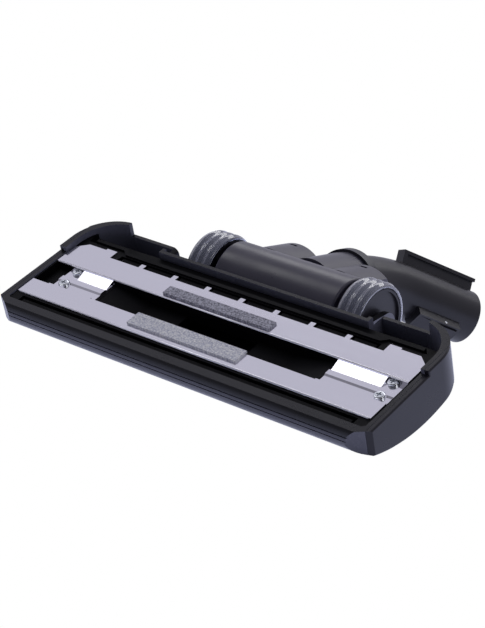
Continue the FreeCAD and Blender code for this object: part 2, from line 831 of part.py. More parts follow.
# Sole screws: pan heads on the channel's floor
screws = body("sole_screws")
screws.AllowCompound = True
heads = sketch_on(screws, "XY_Plane", -channel_depth)
shanks = sketch_on(screws, "XY_Plane", -channel_depth)
for x, y in screw_places:
    ring(heads, x, y, read("screw_head_radius"))
    ring(shanks, x, y, read("screw_radius"))
pad(screws, heads, read("screw_head_height"))
pad(screws, shanks, read("screw_length"), back=True)
head_top = read("screw_head_height") - channel_depth
round_edges(screws, lambda spot, edge: near(spot.z, head_top), 1.0)
crosses = sketch_on(screws, "XY_Plane", head_top)
long = read("screw_cross") / 2
short = read("screw_cross_width") / 2
for x, y in screw_places:
    outline(crosses, [(x + across, y + along) for across, along in (
        (-long, -short), (-short, -short), (-short, -long), (short, -long), (short, -short),
        (long, -short), (long, short), (short, short), (short, long), (-short, long),
        (-short, short), (-long, short))])
pocket(screws, crosses, 1.0)
finish(screws)

# Lint strips: velour glued on the two lands
for label, x0, x1, y0, width in (
        ("front_lint_strip", -read("front_strip_left"), read("front_strip_right"),
         read("front_strip_y"), read("front_strip_width")),
        ("rear_lint_strip", -read("rear_strip_left"), read("rear_strip_right"),
         read("rear_strip_y"), read("rear_strip_width"))):
    strip = body(label)
    block(strip, x0, y0, x1, y0 + width, 0.0, read("strip_thickness"))
    finish(strip)

# Pins that carry the barrel and the wheels
pins = body("axle_pins")
pins.AllowCompound = True
pin_start = read("barrel_half") - 8
pin_end = read("arm_inner_x") + read("arm_thickness")
pin_side = sketch_on(pins, "YZ_Plane", pin_start)
ring(pin_side, axle_y, axle_z, pin_radius)
right_pin = pad(pins, pin_side, pin_end - pin_start)
mirror(pins, [right_pin])
finish(pins)

# Barrel: a hollow roller-shaped housing with two ears round the neck
barrel = body("barrel_shell")
barrel_radius = read("barrel_radius")
barrel_half = read("barrel_half")
barrel_wall = read("barrel_wall")
side = sketch_on(barrel, "YZ_Plane")
ring(side, axle_y, axle_z, barrel_radius)
pad(barrel, side, barrel_half * 2, both=True)
side = sketch_on(barrel, "YZ_Plane")
ring(side, axle_y, axle_z, read("journal_radius"))
pad(barrel, side, read("journal_half") * 2, both=True)
ear_middle = read("ear_middle_x")
ear_half = read("ear_half")
ear_hump = read("ear_hump")
ear_height = read("ear_height")
ear_side = ear_height - ear_hump + root(ear_hump * ear_hump - ear_half * ear_half)
ear_end = NECK.multVec(FreeCAD.Vector(0, 0, read("ear_length").value))
ear_place = FreeCAD.Placement(
    FreeCAD.Vector(0, ear_end.z, -ear_end.y),
    FreeCAD.Rotation(FreeCAD.Vector(1, 0, 0), -read("neck_slope").value))
for middle in (-ear_middle, ear_middle):
    ear = sketch_on(barrel, "XZ_Plane")
    ear.setExpression("AttachmentOffset.Base.z", None)
    ear.AttachmentOffset = ear_place
    outline(
        ear,
        [(middle - ear_half, -read("ear_under")), (middle + ear_half, -read("ear_under")),
         (middle + ear_half, ear_side), (middle - ear_half, ear_side)],
        {2: (middle, ear_height - ear_hump, ear_hump, True)})
    pad(barrel, ear, read("ear_length") - 8)
round_edges(
    barrel, lambda spot, edge: near(curve_radius(edge), ear_hump) and spot.y > ear_end.y - 1, 3.0)

# Slot in the top of each ear
slots = sketch_on(barrel, "XZ_Plane")
slots.setExpression("AttachmentOffset.Base.z", None)
slots.AttachmentOffset = ear_place.multiply(
    FreeCAD.Placement(FreeCAD.Vector(0, 0, 7), FreeCAD.Rotation()))
for middle in (-ear_middle, ear_middle):
    rectangle(slots, middle - 2.6, ear_height - 2.5, middle + 2.6, ear_height + 1)
pocket(barrel, slots, 2.4, back=True)
side = sketch_on(barrel, "YZ_Plane")
ring(side, axle_y, axle_z, barrel_radius - barrel_wall)
pocket(barrel, side, (barrel_half - barrel_wall) * 2, both=True)
seam = sketch_on(barrel, "YZ_Plane", -ear_middle + 5)
rectangle(
    seam, axle_y + barrel_radius * 0.756, axle_z + barrel_radius * 0.53,
    axle_y + barrel_radius * 0.827, axle_z + barrel_radius * 0.591)
pocket(barrel, seam, ear_middle * 2 - 6, back=True)
pin_bores = sketch_on(barrel, "YZ_Plane")
ring(pin_bores, axle_y, axle_z, pin_radius + pin_fit)
pocket(barrel, pin_bores, read("journal_half") * 3, both=True)
mouth = sketch_on(barrel, "YZ_Plane")
outline(mouth, [
    (axle_y - 8, axle_z + 4), (axle_y - 30, axle_z + 15), (axle_y - 30, axle_z - 30),
    (axle_y - 2, axle_z - 30)])
pocket(barrel, mouth, throat_half * 2, both=True)
neck_out = read("neck_radius")
neck_form = body("neck_form")
core = sketch_on(neck_form, "XY_Plane", 12)
ring(core, 0.0, 0.0, neck_out)
pad(neck_form, core, 60)
doc.recompute()
neck_form.Placement = NECK
seat = barrel.newObject("PartDesign::Boolean", "NeckSeat")
seat.Type = "Cut"
seat.setObjects([neck_form])
round_edges(
    barrel, lambda spot, edge: near(abs(spot.x), barrel_half) and edge.Length > 120, 1.4)
finish(barrel)

# Neck: the tube that leaves the barrel between the ears
neck = body("neck_tube")
neck_bore = read("neck_bore")
round_in = sketch_on(neck, "XY_Plane", 16)
ring(round_in, 0.0, 0.0, neck_out)
ring(round_in, 0.0, 0.0, neck_bore)
pad(neck, round_in, read("neck_length") - 16)
finish(neck, NECK)

# Swivel collar: holds the elbow's flange on the neck's end
collar = body("swivel_collar")
collar_start = read("collar_start")
collar_end = collar_start + read("collar_length")
flange_radius = neck_out - 0.4
sleeve = sketch_on(collar, "XY_Plane", collar_start)
ring(sleeve, 0.0, 0.0, read("collar_radius"))
ring(sleeve, 0.0, 0.0, neck_out)
pad(collar, sleeve, read("collar_length"))
lip = sketch_on(collar, "XY_Plane", collar_end - 1.8)
ring(lip, 0.0, 0.0, neck_out + 0.5)
ring(lip, 0.0, 0.0, tube_radius + 0.4)
pad(collar, lip, 1.8)
finish(collar, NECK)

# Wheels: a grey disc in a clear ring on each pin
disc_radius = read("disc_radius")
for name, start in (("left", -wheel_inner - wheel_width), ("right", wheel_inner)):
    disc = body(f"wheel_disc_{name}")
    face = sketch_on(disc, "YZ_Plane", start)
    ring(face, axle_y, axle_z, disc_radius)
    ring(face, axle_y, axle_z, disc_radius - 2)
    pad(disc, face, wheel_width)
    web_start = start + wheel_width - 4.5 if name == "right" else start + 1.5
    web = sketch_on(disc, "YZ_Plane", web_start)
    ring(web, axle_y, axle_z, disc_radius - 1)
    ring(web, axle_y, axle_z, pin_radius + pin_fit)
    pad(disc, web, 3)
    hub = sketch_on(disc, "YZ_Plane", start)
    ring(hub, axle_y, axle_z, read("hub_radius"))
    ring(hub, axle_y, axle_z, pin_radius + pin_fit)
    pad(disc, hub, wheel_width)
    finish(disc)
    tyre = body(f"wheel_ring_{name}")
    face = sketch_on(tyre, "YZ_Plane", start)
    ring(face, axle_y, axle_z, read("tyre_radius"))
    ring(face, axle_y, axle_z, disc_radius)
    pad(tyre, face, wheel_width)
    grip_start = start + 2 if name == "right" else start + wheel_width - 3.6
    grip = sketch_on(tyre, "YZ_Plane", grip_start)
    ring(grip, axle_y, axle_z, read("tyre_radius") + 1)
    ring(grip, axle_y, axle_z, read("tyre_radius") - 0.7)
    pocket(tyre, grip, 1.6, back=True)
    round_edges(
        tyre, lambda spot, edge: near(curve_radius(edge), read("tyre_radius"))
        and (near(spot.x, start) or near(spot.x, start + wheel_width)), 0.9)
    finish(tyre)

# Elbow: a bent tube with a socket for the wand
bend_radius = read("bend_radius")
tangent = bend_radius * math.tan(bend / 2)
tube_bore = read("tube_bore")
spigot_radius = read("spigot_radius")
duct_bore = spigot_radius - 2.4
socket_start = tangent + read("socket_stop")


def neck_sketch(piece, along):
    """Starts a sketch square to the neck, at a distance along it from the bend."""
    drawing = sketch_on(piece, "XY_Plane")
    drawing.setExpression("AttachmentOffset.Base.z", None)
    distance = as_size(along).value
    drawing.AttachmentOffset = FreeCAD.Placement(
        FreeCAD.Vector(0, math.sin(bend) * distance, math.cos(bend) * distance),
        FreeCAD.Rotation(FreeCAD.Vector(1, 0, 0), -math.degrees(bend)))
    return drawing


def bend_sketch(piece, radius):
    """Draws the bend's round section, with the bend's centre as its origin."""
    drawing = sketch_on(piece, "XY_Plane", tangent)
    drawing.AttachmentOffset = FreeCAD.Placement(
        FreeCAD.Vector(0, -bend_radius.value, tangent.value), FreeCAD.Rotation())
    ring(drawing, 0.0, bend_radius, radius)
    return drawing


def turn(piece, kind, drawing):
    """Turns the bend's section round the bend's centre, back to the neck."""
    feature = piece.newObject(kind, "Turn")
    feature.Profile = drawing
    feature.ReferenceAxis = (drawing, ["H_Axis"])
    feature.Reversed = True
    bind(feature, "Angle", read("elbow_bend"))
    return feature


elbow = body("elbow_tube")
flange_start = read("neck_length") + 0.4 - elbow_distance
flange_end = flange_start + 2.0
spigot_start = flange_start - read("spigot_length")
straight = sketch_on(elbow, "XY_Plane", tangent)
ring(straight, 0.0, 0.0, tube_radius)
pad(elbow, straight, tube_length - tangent)
turn(elbow, "PartDesign::Revolution", bend_sketch(elbow, tube_radius))
for start, end, radius in (
        (flange_end - 0.5, -tangent, tube_radius), (flange_start, flange_end, flange_radius),
        (spigot_start, flange_start, spigot_radius)):
    section = neck_sketch(elbow, start)
    ring(section, 0.0, 0.0, radius)
    pad(elbow, section, end - start)

# Parking rail: a T-shaped hook on the outer side of the bend
rail_foot = tube_radius - 1
rail_top = tube_radius + read("rail_height")
rail_start = tube_length - read("rail_length")
rail = sketch_on(elbow, "XY_Plane", rail_start)
turned = FreeCAD.Rotation(FreeCAD.Vector(0, 0, 1), read("rail_turn").value)
rail.AttachmentOffset = FreeCAD.Placement(FreeCAD.Vector(0, 0, rail_start.value), turned)
rail_half = read("rail_web") / 2
cross_half = read("rail_top_width") / 2
under = rail_top - read("rail_top_height")
outline(rail, [
    (-rail_half, rail_foot), (rail_half, rail_foot), (rail_half, under), (cross_half, under),
    (cross_half, rail_top), (-cross_half, rail_top), (-cross_half, under), (-rail_half, under)])
pad(elbow, rail, read("rail_length"))
end_plate = sketch_on(elbow, "XY_Plane", rail_start)
end_plate.AttachmentOffset = FreeCAD.Placement(FreeCAD.Vector(0, 0, rail_start.value), turned)
rectangle(end_plate, -cross_half, rail_foot - 1.5, cross_half, rail_top)
pad(elbow, end_plate, read("rail_end_plate"))

# Housing round the latch, on the inner side
latch_start = tube_length - read("latch_back")
latch_length = read("latch_length")
latch_half = read("latch_width") / 2
latch_low = -tube_radius - read("latch_height")
latch_box = sketch_on(elbow, "XY_Plane", latch_start)
rectangle(latch_box, -latch_half, latch_low, latch_half, -tube_radius + 2.5)
pad(elbow, latch_box, latch_length)

# Air way and wand socket
section = neck_sketch(elbow, spigot_start - 1)
ring(section, 0.0, 0.0, duct_bore)
pocket(elbow, section, -tangent - spigot_start + 1, back=True)
doc.recompute()
turn(elbow, "PartDesign::Groove", bend_sketch(elbow, duct_bore))
straight = sketch_on(elbow, "XY_Plane", tangent)
ring(straight, 0.0, 0.0, duct_bore)
pocket(elbow, straight, socket_start - tangent + 1, back=True)
straight = sketch_on(elbow, "XY_Plane", socket_start)
ring(straight, 0.0, 0.0, tube_bore)
pocket(elbow, straight, tube_length, back=True)
round_edges(
    elbow, lambda spot, edge: near(spot.z, tube_length) and edge.Length > 60
    and near(curve_radius(edge), tube_radius), read("tube_edge"))

# Well for the latch lever, and its pin's holes
well_play = 0.6
lever_half = latch_half - 2.0
well = sketch_on(elbow, "XY_Plane", latch_start + 1.8)
rectangle(well, -lever_half - well_play, latch_low - 1, lever_half + well_play, -tube_radius - 0.2)
pocket(elbow, well, latch_length - 3.6, back=True)
tooth_start = latch_start + 10.0
tooth_length = 5.0
window = sketch_on(elbow, "XY_Plane", tooth_start - 1.4)
rectangle(window, -3.6, -tube_radius - 1, 3.6, -tube_radius + 6)
pocket(elbow, window, tooth_length + 1.4 + well_play, back=True)
lever_pin_z = latch_start + latch_length * 0.65
lever_pin_y = latch_low + 1.8
lever_hole = sketch_on(elbow, "YZ_Plane", -latch_half - 2)
ring(lever_hole, lever_pin_y, lever_pin_z, 0.9)
pocket(elbow, lever_hole, latch_half * 2 + 4, back=True)
finish(elbow, TUBE)

# Latch lever: a rocker whose tooth locks the wand
lever = body("latch_lever")
side = sketch_on(lever, "YZ_Plane", -lever_half)
lever_low = latch_low - 1.2
lever_end = latch_start + latch_length - 2.4
outline(side, [
    (latch_low + 0.6, latch_start + 2.4), (lever_low, lever_pin_z), (lever_low, lever_end),
    (latch_low + 1.4, lever_end), (latch_low + 3.2, lever_pin_z + 1.2),
    (latch_low + 3.2, lever_pin_z - 1.2), (latch_low + 2.6, latch_start + 2.4)])
ring(side, lever_pin_y, lever_pin_z, 0.9 + pin_fit)
pad(lever, side, lever_half * 2)
tooth = sketch_on(lever, "YZ_Plane", -3.0)
outline(tooth, [
    (latch_low + 1.6, tooth_start), (-tube_bore - 0.2, tooth_start),
    (-tube_bore - 1.4, tooth_start + tooth_length), (latch_low + 1.6, tooth_start + tooth_length)])
pad(lever, tooth, 6)
finish(lever, TUBE)

lever_pin = body("latch_pin")
side = sketch_on(lever_pin, "YZ_Plane", -latch_half)
ring(side, lever_pin_y, lever_pin_z, 0.9)
pad(lever_pin, side, latch_half * 2)
finish(lever_pin, TUBE)

# Brush carrier: two bars joined by webs under the duct
carrier = body("brush_carrier")
bar_play = read("bar_play")
bar_top = -read("brush_drop") - read("bristle_height")
web_x = read("web_x")
web_half = read("web_width") / 2
front_bar_y = -read("slot_front_y") + bar_play
front_bar_end = slot_end_y - bar_play
rear_bar_y = read("rear_slot_y") + bar_play
rear_bar_end = rear_slot_end - bar_play
block(
    carrier, -slot_half + 1, front_bar_y, slot_half - 1, front_bar_end,
    bar_top - read("bar_height"), bar_top)
for sign in (-1, 1):
    block(
        carrier, (duct_outer + 1.5) * sign, rear_bar_y, (slot_half - 28) * sign, rear_bar_end,
        bar_top - read("bar_height"), bar_top)
web_low = -deck_depth + wall + 3
for sign in (-1, 1):
    web = sketch_on(carrier, "YZ_Plane", web_x * sign - web_half)
    outline(web, [
        (front_bar_y, bar_top - read("bar_height")), (front_bar_end + 1, bar_top - read("bar_height") - 2.2),
        (front_bar_end + 14, web_low + 1.5), (rear_bar_end - 1, web_low + 1.5),
        (rear_bar_end - 1, bar_top - 1), (rear_bar_y, bar_top - 1), (rear_bar_y, web_low + 5),
        (front_bar_end + 15, web_low + 5), (front_bar_end + 1, bar_top - 2), (front_bar_y, bar_top - 2)])
    pad(carrier, web, web_half * 2)
finish(carrier)

# Bristles
for label, y0, y1, half in (
        ("front_bristles", front_bar_y, front_bar_end, slot_half - 2),
        ("rear_bristles", rear_bar_y, rear_bar_end, slot_half - 29)):
    tuft = body(label)
    middle = (y0 + y1) / 2
    thick = read("bristle_width") / 2
    block(tuft, -half, middle - thick, half, middle + thick, bar_top, -read("brush_drop"))
    if label == "rear_bristles":
        tab_gap = tab_half + 0.7
        gaps = sketch_on(tuft, "XY_Plane", -read("brush_drop") + 1)
        for step in range(-3, 4):
            centre = read("tab_pitch") * step
            rectangle(
                gaps, centre - tab_gap, middle - thick - 1, centre + tab_gap, middle + thick + 1)
        pocket(tuft, gaps, read("bristle_height"))
    finish(tuft)

# Foot pedal and its pin
pedal = body("foot_pedal")
pedal_front = read("pedal_front_y")
pedal_rear = read("pedal_rear_y")
thick = read("pedal_thickness")
face = sketch_on(pedal, "YZ_Plane", -pedal_x - read("pedal_half"))
outline(face, [
    (pedal_front, hinge_z - 5.5), (hinge_y, hinge_z - 4.5), (pedal_rear, hinge_z - 2.5),
    (pedal_rear, hinge_z - 2.5 + thick), (hinge_y + 3, hinge_z - 0.5), (hinge_y + 2, hinge_z + 2.6),
    (hinge_y - 2, hinge_z + 2.6), (hinge_y - 3, hinge_z - 1), (pedal_front, hinge_z - 5.5 + thick)])
ring(face, hinge_y, hinge_z, read("pedal_pin_radius") + pin_fit)
pad(pedal, face, read("pedal_half") * 2)
finish(pedal)

pedal_pin = body("pedal_pin")
side = sketch_on(pedal_pin, "YZ_Plane", -pedal_x - pedal_side - 3)
ring(side, hinge_y, hinge_z, read("pedal_pin_radius"))
pad(pedal_pin, side, pedal_side * 2 + 6)
finish(pedal_pin)

# The origin is the middle of the footprint on the table
doc.recompute()
extent = FreeCAD.BoundBox()
for piece in pieces:
    extent.add(piece.Shape.optimalBoundingBox(False))
footing = FreeCAD.Placement(
    FreeCAD.Vector(0, -(extent.YMin + extent.YMax) / 2, -extent.ZMin), FreeCAD.Rotation())
for piece in pieces:
    piece.Placement = footing.multiply(piece.Placement)
print(f"Footing: {footing.Base.y:.4f} along Y, {footing.Base.z:.4f} up")

# Checks and export
doc.recompute()
for thing in doc.Objects:
    if "Invalid" in thing.State or "Error" in thing.State:
        raise ValueError(f"{thing.Label} failed: {thing.State}")
os.makedirs("parts", exist_ok=True)
for piece in pieces:
    if piece.Shape.isNull() or not piece.Shape.isValid():
        raise ValueError(f"{piece.Label} has no valid shape")
    piece.Shape.exportStep(f"parts/{piece.Label}.step")
    box = piece.Shape.BoundBox
    print(
        f"{piece.Label:18s} {len(piece.Shape.Solids)} solids {piece.Shape.Volume:9.0f} mm3"
        f"  z {box.ZMin:7.2f} to {box.ZMax:7.2f}")
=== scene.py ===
# %% [markdown]
# # A vacuum cleaner's floor head, lying sole up
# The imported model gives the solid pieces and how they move. This script gives
# them their finish, adds small formed details, and photographs the head in a
# pale studio from the angle of the reference picture.

# %% Load the frame
import json
import math

import bmesh
import bpy
from mathutils import Matrix, Vector


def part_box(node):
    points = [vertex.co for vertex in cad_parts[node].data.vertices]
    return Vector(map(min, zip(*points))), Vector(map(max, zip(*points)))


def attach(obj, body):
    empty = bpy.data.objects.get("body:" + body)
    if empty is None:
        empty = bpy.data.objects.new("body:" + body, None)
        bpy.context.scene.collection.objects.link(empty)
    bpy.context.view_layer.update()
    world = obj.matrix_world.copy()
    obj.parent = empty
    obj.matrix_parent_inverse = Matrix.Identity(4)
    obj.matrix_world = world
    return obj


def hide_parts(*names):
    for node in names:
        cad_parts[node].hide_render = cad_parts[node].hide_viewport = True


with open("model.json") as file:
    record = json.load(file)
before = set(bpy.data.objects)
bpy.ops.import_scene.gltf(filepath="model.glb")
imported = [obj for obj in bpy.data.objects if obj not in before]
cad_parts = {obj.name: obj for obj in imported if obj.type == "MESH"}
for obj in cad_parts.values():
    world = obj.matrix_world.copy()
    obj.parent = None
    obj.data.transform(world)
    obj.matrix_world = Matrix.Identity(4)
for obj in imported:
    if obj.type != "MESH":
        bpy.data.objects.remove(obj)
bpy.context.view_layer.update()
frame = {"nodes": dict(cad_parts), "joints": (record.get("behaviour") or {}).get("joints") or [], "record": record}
record = frame["record"]

# %% [markdown]
# The head was drawn in its sole's own frame and then leaned back. The brush
# lifts straight out of the sole, so the lean is read from that joint's axis,
# and the axle's place completes the turn from drawing positions to the scene.

# %% Drawing frame to scene
AXLE = Vector((0.0, 0.0967, -0.0238))
joints = {joint["name"]: joint for joint in frame["joints"]}
sole_normal = Vector(joints["brush_lift"]["axis"])
lean = math.atan2(-sole_normal.y, sole_normal.z)
turn = Matrix.Rotation(lean, 4, "X")
shift = Vector(joints["barrel_tilt"]["pos_m"]) - turn @ AXLE
stance = Matrix.Translation(shift) @ turn
print("lean", round(math.degrees(lean), 3), "shift", [round(v, 5) for v in shift])


# %% [markdown]
# Every finish is a small node tree. Its patterns lie on the Object coordinates,
# so they move with the pieces. These helpers wire up the parts that recur: a
# noise, a range that a noise is spread over, a blend of two colours and a bump.

# %% Node helpers
NOISE_RANGE = (0.3, 0.7)


def nodes_of(name):
    material = bpy.data.materials.new(name)
    material.use_nodes = True
    tree = material.node_tree
    return material, tree, tree.nodes["Principled BSDF"]


def link(tree, source, target):
    tree.links.new(source, target)


def noise(tree, scale, detail, stretch=None):
    place = tree.nodes.new("ShaderNodeTexCoord")
    texture = tree.nodes.new("ShaderNodeTexNoise")
    texture.inputs["Scale"].default_value = scale
    texture.inputs["Detail"].default_value = detail
    source = place.outputs["Object"]
    if stretch:
        mapping = tree.nodes.new("ShaderNodeMapping")
        mapping.inputs["Scale"].default_value = stretch
        link(tree, source, mapping.inputs["Vector"])
        source = mapping.outputs["Vector"]
    link(tree, source, texture.inputs["Vector"])
    return texture.outputs["Fac"]


def ranged(tree, source, given, wanted):
    band = tree.nodes.new("ShaderNodeMapRange")
    band.inputs["From Min"].default_value, band.inputs["From Max"].default_value = given
    band.inputs["To Min"].default_value, band.inputs["To Max"].default_value = wanted
    link(tree, source, band.inputs["Value"])
    return band.outputs["Result"]


def spread(tree, source, low, high):
    return ranged(tree, source, NOISE_RANGE, (low, high))


def dot_with(tree, source, direction):
    product = tree.nodes.new("ShaderNodeVectorMath")
    product.operation = "DOT_PRODUCT"
    product.inputs[1].default_value = direction
    link(tree, source, product.inputs[0])
    return product.outputs["Value"]


def mixed(tree, factor, first, second):
    mix = tree.nodes.new("ShaderNodeMix")
    mix.data_type = "RGBA"
    link(tree, factor, mix.inputs["Factor"])
    for socket, color in (("A", first), ("B", second)):
        if isinstance(color, tuple):
            mix.inputs[socket].default_value = (*color, 1)
        else:
            link(tree, color, mix.inputs[socket])
    return mix.outputs["Result"]


def bumped(tree, shader, height, strength, distance):
    bump = tree.nodes.new("ShaderNodeBump")
    bump.inputs["Strength"].default_value = strength
    bump.inputs["Distance"].default_value = distance
    link(tree, height, bump.inputs["Height"])
    link(tree, bump.outputs["Normal"], shader.inputs["Normal"])


print("noise is spread over", NOISE_RANGE)

# %% [markdown]
# One maker serves the plastics: a base colour that drifts slightly, a roughness
# that varies, and a fine moulded grain in the bump. The cover also has a painted
# reflection: a lighter colour takes over where the wall turns down, which is read
# from the surface's own normal and not from the Object coordinates.

# %% Plastics
COLOR_DRIFT = 0.12
ROUGHNESS_DRIFT = 0.15
PATCH_SCALE = 45.0
PATCH_DETAIL = 5.0
GRAIN_SCALE = 2500.0
GRAIN_DETAIL = 2.0
GRAIN_STRENGTH = 0.05
GRAIN_DEPTH = 0.0002
# Facing range over which the cover's painted reflection fades from full to none.
TURNED_DOWN = 0.05
STILL_UP = 0.50


# Mask for the painted reflection: full where the wall turns down, none where it still faces up.
def painted_reflection_mask(tree):
    place = tree.nodes.new("ShaderNodeTexCoord")
    facing = dot_with(tree, place.outputs["Normal"], sole_normal)
    return ranged(tree, facing, (TURNED_DOWN, STILL_UP), (1.0, 0.0))


def plastic(name, color, roughness, gloss=0.5, painted_reflection=None):
    material, tree, shader = nodes_of(name)
    patches = noise(tree, PATCH_SCALE, PATCH_DETAIL)
    darker = tuple(c * (1 - COLOR_DRIFT) for c in color)
    lighter = tuple(c * (1 + COLOR_DRIFT) for c in color)
    tint = mixed(tree, patches, darker, lighter)
    # Painted reflection: a lighter colour laid on the walls that turn down.
    if painted_reflection:
        tint = mixed(tree, painted_reflection_mask(tree), tint, painted_reflection)
    link(tree, tint, shader.inputs["Base Color"])
    varied = spread(tree, patches, roughness * (1 - ROUGHNESS_DRIFT),
                    roughness * (1 + ROUGHNESS_DRIFT))
    link(tree, varied, shader.inputs["Roughness"])
    grain = noise(tree, GRAIN_SCALE, GRAIN_DETAIL)
    bumped(tree, shader, grain, GRAIN_STRENGTH, GRAIN_DEPTH)
    shader.inputs["Specular IOR Level"].default_value = gloss
    return material


finishes = {
    # The cover's second, lighter colour is a painted reflection on its downward-turned walls.
    "cover": plastic("cover", (0.005, 0.005, 0.008), 0.28, 0.38, (0.14, 0.145, 0.20)),
    "bumper": plastic("bumper", (0.010, 0.009, 0.015), 0.30, 0.36),
    "frame": plastic("frame", (0.003, 0.003, 0.004), 0.45, 0.06),
    "barrel": plastic("barrel", (0.058, 0.055, 0.080), 0.32),
    "collar": plastic("collar", (0.020, 0.020, 0.028), 0.34),
    "wheel": plastic("wheel", (0.013, 0.012, 0.018), 0.38, 0.4),
    "tube": plastic("tube", (0.010, 0.009, 0.014), 0.34),
    "lever": plastic("lever", (0.022, 0.021, 0.030), 0.40),
    "pedal": plastic("pedal", (0.020, 0.020, 0.024), 0.42),
    "bristle": plastic("bristle", (0.004, 0.004, 0.005), 0.7, 0.08),
}
print("plastics:", ", ".join(finishes))

# %% [markdown]
# The metals differ by colour and by how rough their streaks or spots make them.
# The stamped sole also has long, shallow waves. The clear plastic has a hard,
# clean coat over a slight haze, and the velour a speckle that its pile follows.


# %% Metals, clear plastic and velour
def metal(name, color, texture, roughness):
    material, tree, shader = nodes_of(name)
    shader.inputs["Base Color"].default_value = (*color, 1)
    shader.inputs["Metallic"].default_value = 1.0
    varied = spread(tree, noise(tree, *texture), *roughness)
    link(tree, varied, shader.inputs["Roughness"])
    return material, tree, shader


def stamped_sheet():
    streaks = (120.0, 6.0, (0.2, 8.0, 8.0))
    material, tree, shader = metal("sole", (0.84, 0.83, 0.88), streaks, (0.10, 0.17))
    waves = noise(tree, 14.0, 1.0, (0.5, 1.0, 1.0))
    bumped(tree, shader, waves, 0.5, 0.004)
    return material


def clear_plastic():
    material, tree, shader = nodes_of("clear")
    shader.inputs["Base Color"].default_value = (0.62, 0.66, 0.84, 1)
    shader.inputs["Transmission Weight"].default_value = 0.75
    shader.inputs["IOR"].default_value = 1.49
    shader.inputs["Coat Weight"].default_value = 1.0
    shader.inputs["Coat IOR"].default_value = 1.6
    shader.inputs["Coat Roughness"].default_value = 0.04
    haze = spread(tree, noise(tree, 60.0, 2.0), 0.0, 0.03)
    link(tree, haze, shader.inputs["Roughness"])
    return material


def velour(name, dark, light):
    material, tree, shader = nodes_of(name)
    speckle = noise(tree, 900.0, 2.0)
    color = mixed(tree, spread(tree, speckle, 0.0, 1.0), dark, light)
    link(tree, color, shader.inputs["Base Color"])
    shader.inputs["Roughness"].default_value = 0.9
    bumped(tree, shader, speckle, 0.8, 0.0006)
    return material


finishes["sole"] = stamped_sheet()
finishes["chrome"] = metal("chrome", (0.92, 0.91, 0.95), (300.0, 2.0), (0.30, 0.42))[0]
finishes["zinc"] = metal("zinc", (0.75, 0.78, 0.80), (900.0, 3.0), (0.18, 0.30))[0]
finishes["clear"] = clear_plastic()
finishes["velour_light"] = velour("velour_light", (0.48, 0.50, 0.62), (1.0, 1.0, 1.0))
finishes["velour_dark"] = velour("velour_dark", (0.13, 0.13, 0.17), (0.66, 0.66, 0.76))
print("finishes:", len(finishes))

# %% [markdown]
# Each piece of the frame takes the finish that the record's material slot names.

# %% Dress the frame's nodes
slots = {part["node"]: part["material_slot"] for part in record["subparts"]}
for node, thing in frame["nodes"].items():
    for index in range(len(thing.material_slots)):
        thing.material_slots[index].material = finishes[slots[node]]
    if not thing.material_slots:
        thing.data.materials.append(finishes[slots[node]])
print("dressed", len(frame["nodes"]), "nodes")

# %% [markdown]
# The stamped sheet is folded over along the front edge of each land, and a
# double bead stiffens each sunk bridge. Both are round rolls that catch a line
# of light. The beads are sunk to half their height, and the folded edges lie
# deeper. A sloped flank joins each bridge to the rear land and stops short of
# the screw.

# %% Rolled edges, bridge beads and flanks
PLATE_HALF = 0.1305
FRONT_LAND = 0.0136
CHANNEL_END = 0.0353
CHANNEL_DEPTH = 0.003
BRIDGE_END = 0.118
MOUTH_HALF = 0.0835
ROLL_RADIUS = 0.0007
ROLL_INSET = 0.0002
ROLL_SINK = 0.0005
ROLL_END_GAP = 0.0012
ROLL_SIDES = 24
BEAD_RADIUS = 0.0005
BEAD_GAP = 0.0022
BEAD_START_GAP = 0.003
BEAD_END_GAP = 0.002
FLANK_RUN = 0.0085
FLANK_TOP = 0.0003
FLANK_START_GAP = 0.0005
LEFT_FLANK_LENGTH = 0.0235
RIGHT_FLANK_LENGTH = 0.0335


def placed(grid, name, finish):
    mesh = bpy.data.meshes.new(name)
    grid.to_mesh(mesh)
    grid.free()
    mesh.materials.append(finishes[finish])
    piece = bpy.data.objects.new(name, mesh)
    bpy.context.scene.collection.objects.link(piece)
    return piece


def roll(name, start, end, radius):
    grid = bmesh.new()
    bmesh.ops.create_cone(grid, cap_ends=True, segments=ROLL_SIDES, radius1=radius,
                          radius2=radius, depth=(end - start).length)
    along = (end - start).to_track_quat("Z", "Y").to_matrix().to_4x4()
    place = stance @ Matrix.Translation((start + end) / 2) @ along
    bmesh.ops.transform(grid, matrix=place, verts=grid.verts)
    for face in grid.faces:
        face.smooth = len(face.verts) == 4
    piece = placed(grid, name, "chrome")
    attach(piece, "head")
    return piece


def flank(name, side, length):
    start = side * (MOUTH_HALF + FLANK_START_GAP)
    profile = [
        (start, CHANNEL_END, -FLANK_TOP),
        (start, CHANNEL_END, -CHANNEL_DEPTH),
        (start, CHANNEL_END - FLANK_RUN, -CHANNEL_DEPTH),
    ]
    grid = bmesh.new()
    face = grid.faces.new([grid.verts.new(corner) for corner in profile])
    grown = bmesh.ops.extrude_face_region(grid, geom=[face])
    moved = [item for item in grown["geom"] if isinstance(item, bmesh.types.BMVert)]
    bmesh.ops.translate(grid, verts=moved, vec=(side * length, 0, 0))
    bmesh.ops.transform(grid, matrix=stance, verts=grid.verts)
    bmesh.ops.recalc_face_normals(grid, faces=grid.faces)
    piece = placed(grid, name, "sole")
    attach(piece, "head")
    return piece


